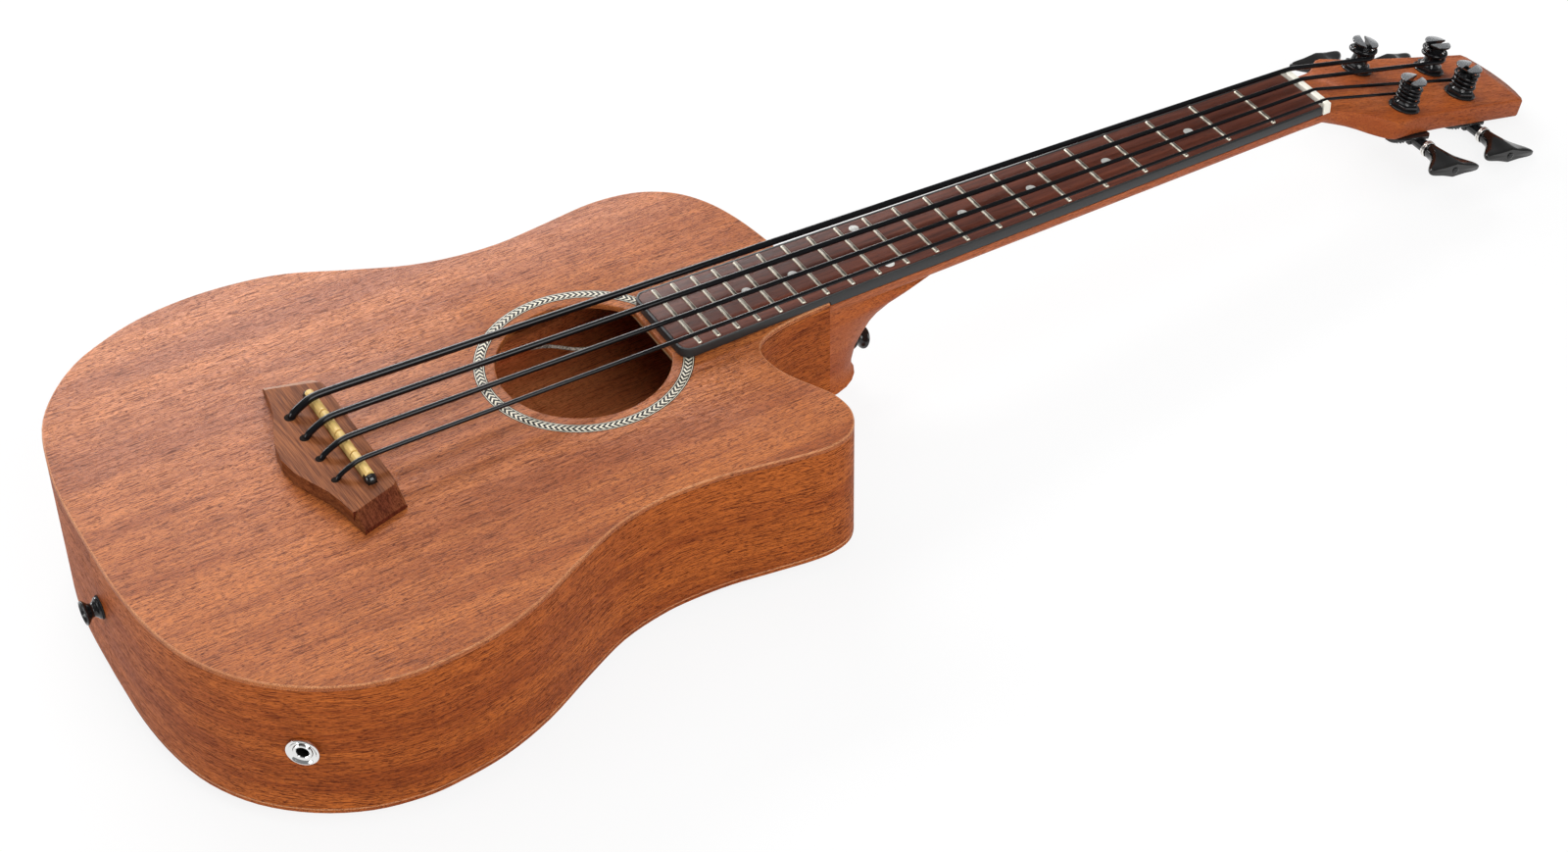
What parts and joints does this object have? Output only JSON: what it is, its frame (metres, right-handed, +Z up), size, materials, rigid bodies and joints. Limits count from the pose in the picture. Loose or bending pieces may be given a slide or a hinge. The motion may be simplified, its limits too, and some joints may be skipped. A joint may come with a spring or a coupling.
{
  "type": "bass ukulele",
  "caption": "Acoustic bass ukulele with a cutaway body, round soundhole, long fretboard, thick rubber strings and slotted tuning posts turned by worm gears.",
  "frame": {"origin": "on the flat back, on the centre line, under the middle of the saddle", "axes": "+X from the tail to the head, +Y to the bass side, +Z up from the back to the strings"},
  "size_m": [0.8977, 0.3123, 0.1093],
  "materials": {
    "mahogany": "satin, open pores",
    "pale_wood": "raw",
    "neck_wood": "satin",
    "inlay": "satin herringbone",
    "rosewood": "satin",
    "bridge_wood": "satin",
    "dark_binding": "satin",
    "bone": "polished",
    "cream_plastic": "polished",
    "black_plastic": "gloss",
    "cable": "matt",
    "black_rubber": "smooth",
    "black_metal": "gloss",
    "chrome": "polished",
    "steel": "raw"
  },
  "bodies": {
    "instrument": {"top_plate": "mahogany", "back_plate": "mahogany", "side_bass": "mahogany", "side_treble": "mahogany", "lining_top_bass": "pale_wood", "lining_top_treble": "pale_wood", "lining_back_bass": "pale_wood", "lining_back_treble": "pale_wood", "neck_block": "neck_wood", "tail_block": "neck_wood", "brace_top_upper": "pale_wood", "brace_top_lower": "pale_wood", "bridge_plate": "pale_wood", "brace_back_upper": "pale_wood", "brace_back_lower": "pale_wood", "rosette": "inlay", "strap_button_tail": "black_metal", "strap_button_heel": "black_metal", "bridge": "bridge_wood", "saddle": "cream_plastic", "pickup_strip": "black_plastic", "pickup_lead": "cable", "jack_flange": "chrome", "jack_body": "black_plastic", "neck": "neck_wood", "truss_rod": "steel", "fretboard": "rosewood", "fretboard_binding": "dark_binding", "nut": "bone", "tuner_plate_E": "black_metal", "tuner_nut_E": "black_metal", "string_E": "black_rubber", "tuner_plate_A": "black_metal", "tuner_nut_A": "black_metal", "string_A": "black_rubber", "tuner_plate_D": "black_metal", "tuner_nut_D": "black_metal", "string_D": "black_rubber", "tuner_plate_G": "black_metal", "tuner_nut_G": "black_metal", "string_G": "black_rubber"},
    "key_E": {"worm_shaft_E": "black_metal", "tuner_key_E": "black_plastic"},
    "post_E": {"string_post_E": "black_metal", "worm_wheel_E": "black_metal"},
    "key_A": {"worm_shaft_A": "black_metal", "tuner_key_A": "black_plastic"},
    "post_A": {"string_post_A": "black_metal", "worm_wheel_A": "black_metal"},
    "key_D": {"worm_shaft_D": "black_metal", "tuner_key_D": "black_plastic"},
    "post_D": {"string_post_D": "black_metal", "worm_wheel_D": "black_metal"},
    "key_G": {"worm_shaft_G": "black_metal", "tuner_key_G": "black_plastic"},
    "post_G": {"string_post_G": "black_metal", "worm_wheel_G": "black_metal"}
  },
  "joints": [
    {"name": "key_turn_E", "type": "hinge", "parent": "instrument", "child": "key_E", "pos_m": [0.66684, 0.0226, 0.01278], "axis": [0, 1, 0], "continuous": true},
    {"name": "post_turn_E", "type": "hinge", "parent": "instrument", "child": "post_E", "pos_m": [0.66231, 0.0226, 0.03321], "axis": [0.3026, 0, 0.9531], "continuous": true},
    {"name": "key_turn_A", "type": "hinge", "parent": "instrument", "child": "key_A", "pos_m": [0.71593, 0.0144, -0.00281], "axis": [0, 1, 0], "continuous": true},
    {"name": "post_turn_A", "type": "hinge", "parent": "instrument", "child": "post_A", "pos_m": [0.7114, 0.0144, 0.01762], "axis": [0.3026, 0, 0.9531], "continuous": true},
    {"name": "key_turn_D", "type": "hinge", "parent": "instrument", "child": "key_D", "pos_m": [0.71545, -0.0146, -0.00266], "axis": [0, 1, 0], "continuous": true},
    {"name": "post_turn_D", "type": "hinge", "parent": "instrument", "child": "post_D", "pos_m": [0.71092, -0.0146, 0.01777], "axis": [0.3026, 0, 0.9531], "continuous": true},
    {"name": "key_turn_G", "type": "hinge", "parent": "instrument", "child": "key_G", "pos_m": [0.66589, -0.0224, 0.01308], "axis": [0, 1, 0], "continuous": true},
    {"name": "post_turn_G", "type": "hinge", "parent": "instrument", "child": "post_G", "pos_m": [0.66136, -0.0224, 0.03351], "axis": [0.3026, 0, 0.9531], "continuous": true}
  ],
  "couplings": [
    {"joint": "post_turn_E", "follows": "key_turn_E", "ratio": -0.05},
    {"joint": "post_turn_A", "follows": "key_turn_A", "ratio": -0.05},
    {"joint": "post_turn_D", "follows": "key_turn_D", "ratio": 0.05},
    {"joint": "post_turn_G", "follows": "key_turn_G", "ratio": 0.05}
  ]
}
